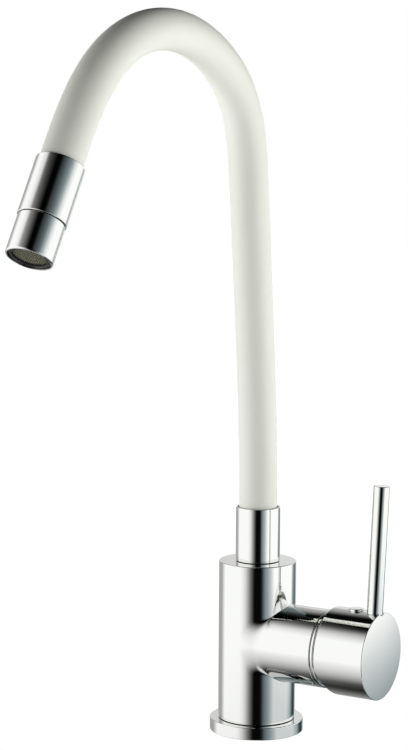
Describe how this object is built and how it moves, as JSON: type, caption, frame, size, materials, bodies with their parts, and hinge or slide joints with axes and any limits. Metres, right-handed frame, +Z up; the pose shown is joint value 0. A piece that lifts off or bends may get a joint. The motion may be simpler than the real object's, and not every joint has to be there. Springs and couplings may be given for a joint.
{
  "type": "kitchen faucet",
  "caption": "Single-lever kitchen mixer tap: chromed barrel with a side handle, a swivelling hose spout that bends and stays where it is put, and a spray head with an aerator.",
  "frame": {"origin": "barrel axis, in the plane of the deck that the faucet is clamped to", "axes": "+Z up along the barrel, spout reaching to -Y, handle branch pointing to +X"},
  "size_m": [0.1142, 0.2663, 0.4209],
  "materials": {
    "chrome": "polished chrome plate on cast and turned brass",
    "brass": "turned, unplated",
    "steel": "stainless, as machined",
    "silicone": "off-white silicone, satin",
    "tube_plastic": "milky extruded tube",
    "seal_rubber": "black, matt",
    "dark_plastic": "moulded black",
    "pale_plastic": "moulded off-white",
    "ceramic": "sintered and lapped"
  },
  "bodies": {
    "body": {"base_ring": "chrome", "base_gasket": "seal_rubber", "mixer_body": "chrome", "port_seal": "seal_rubber", "cartridge_base": "dark_plastic", "fixed_disc": "ceramic", "cartridge_housing": "pale_plastic", "retaining_nut": "brass", "branch_ring": "chrome", "retainer_screw": "steel"},
    "spout_base": {"spout_spigot": "brass", "spout_o_ring_lower": "seal_rubber", "spout_o_ring_upper": "seal_rubber", "glide_washer": "dark_plastic", "swivel_collar": "chrome", "hose_sleeve_1": "silicone", "hose_core_1": "steel", "water_tube_1": "tube_plastic"},
    "hose_2": {"hose_sleeve_2": "silicone", "hose_core_2": "steel", "water_tube_2": "tube_plastic"},
    "hose_3": {"hose_sleeve_3": "silicone", "hose_core_3": "steel", "water_tube_3": "tube_plastic"},
    "hose_4": {"hose_sleeve_4": "silicone", "hose_core_4": "steel", "water_tube_4": "tube_plastic"},
    "hose_5": {"hose_sleeve_5": "silicone", "hose_core_5": "steel", "water_tube_5": "tube_plastic"},
    "hose_6": {"hose_sleeve_6": "silicone", "hose_core_6": "steel", "water_tube_6": "tube_plastic"},
    "spray_head": {"hose_sleeve_7": "silicone", "hose_core_7": "steel", "water_tube_7": "tube_plastic", "head_sleeve": "chrome", "head_fitting": "brass"},
    "nozzle": {"nozzle_sleeve": "chrome", "aerator_housing": "dark_plastic", "aerator_mesh": "steel", "aerator_insert": "pale_plastic", "nozzle_seal": "seal_rubber"},
    "carrier": {"stem_carrier": "pale_plastic", "pivot_pin": "steel"},
    "mixing_disc": {"moving_disc": "ceramic", "disc_driver": "dark_plastic"},
    "handle": {"stem": "brass", "handle_cap": "chrome", "lever_pin": "chrome", "handle_screw": "steel"}
  },
  "joints": [
    {"name": "spout_swivel", "type": "hinge", "parent": "body", "child": "spout_base", "pos_m": [0, 0, 0.1024], "axis": [0, 0, 1], "continuous": true},
    {"name": "hose_bend_1", "type": "hinge", "parent": "spout_base", "child": "hose_2", "pos_m": [0, -0.0016, 0.18487], "axis": [1, 0, 0], "range_deg": [-20, 15], "deforming": ["hose_sleeve_1"]},
    {"name": "hose_side_bend", "type": "hinge", "parent": "hose_2", "child": "hose_3", "pos_m": [0, -0.00715, 0.25464], "axis": [0, 0.9959, 0.0904], "range_deg": [-20, 20], "deforming": ["hose_sleeve_2"]},
    {"name": "hose_bend_2", "type": "hinge", "parent": "hose_3", "child": "hose_4", "pos_m": [0, -0.01368, 0.32434], "axis": [1, 0, 0], "range_deg": [-20, 15], "deforming": ["hose_sleeve_3"]},
    {"name": "hose_bend_3", "type": "hinge", "parent": "hose_4", "child": "hose_5", "pos_m": [0, -0.03899, 0.38731], "axis": [1, 0, 0], "range_deg": [-20, 15], "deforming": ["hose_sleeve_4"]},
    {"name": "hose_bend_4", "type": "hinge", "parent": "hose_5", "child": "hose_6", "pos_m": [0, -0.10387, 0.40949], "axis": [1, 0, 0], "range_deg": [-20, 15], "deforming": ["hose_sleeve_5"]},
    {"name": "hose_bend_5", "type": "hinge", "parent": "hose_6", "child": "spray_head", "pos_m": [0, -0.16739, 0.38395], "axis": [1, 0, 0], "range_deg": [-20, 15], "deforming": ["hose_sleeve_6", "hose_sleeve_7"]},
    {"name": "nozzle_turn", "type": "hinge", "parent": "spray_head", "child": "nozzle", "pos_m": [0, -0.20075, 0.33763], "axis": [0, -0.5018, -0.865], "range_deg": [0, 90]},
    {"name": "temperature_turn", "type": "hinge", "parent": "body", "child": "carrier", "pos_m": [0, 0, 0.0548], "axis": [1, 0, 0], "range_deg": [-45, 45]},
    {"name": "lever_tilt", "type": "hinge", "parent": "carrier", "child": "handle", "pos_m": [0.05, 0, 0.0548], "axis": [0, 1, 0], "range_deg": [0, 22]},
    {"name": "disc_slide", "type": "slide", "parent": "carrier", "child": "mixing_disc", "axis": [0, 0, 1], "range_m": [0, 0.0062]}
  ],
  "couplings": [
    {"joint": "disc_slide", "follows": "lever_tilt", "m_per_rad": 0.015897}
  ]
}
